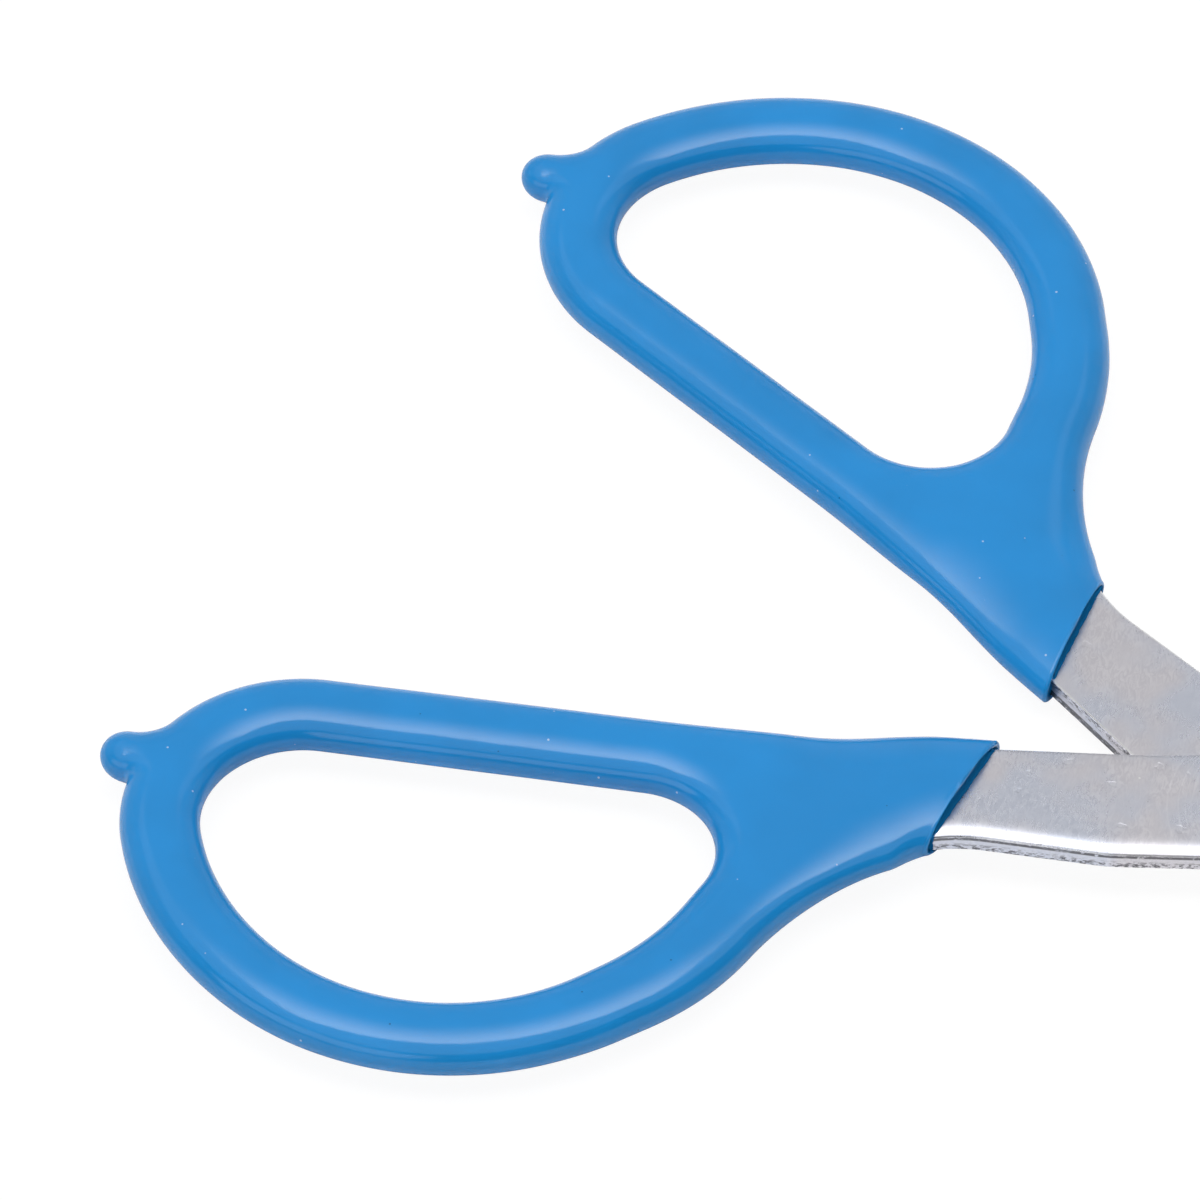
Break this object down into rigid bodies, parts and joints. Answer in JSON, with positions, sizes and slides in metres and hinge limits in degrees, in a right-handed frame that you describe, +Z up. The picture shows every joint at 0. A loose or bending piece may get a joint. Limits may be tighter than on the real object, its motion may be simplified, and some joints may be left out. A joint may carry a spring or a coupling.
{
  "type": "office scissors",
  "caption": "All-steel office scissors with flat stamped halves on a slotted pivot screw and dip-coated plastic finger loops.",
  "frame": {"origin": "on the pivot axis, at the underside of the pivot nut, which is the lowest point", "axes": "+X along the line midway between the blades, towards the tips; +Y to the lower half's finger loop; +Z up, out of the screw's slotted head"},
  "size_m": [0.176, 0.1184, 0.008],
  "materials": {
    "steel": "polished nickel plate with fine handling scratches",
    "plastic": "semi-gloss dipped plastic",
    "hardware": "turned steel"
  },
  "bodies": {
    "lower_half": {"lower_blade": "steel", "lower_grip": "plastic", "pivot_screw": "hardware", "head_washer": "hardware", "spring_washer": "hardware", "pivot_nut": "hardware"},
    "upper_half": {"upper_blade": "steel", "upper_grip": "plastic"}
  },
  "joints": [
    {"name": "pivot", "type": "hinge", "parent": "lower_half", "child": "upper_half", "pos_m": [0, 0, 0.00395], "axis": [0, 0, 1], "range_deg": [-17.5, 82]}
  ]
}
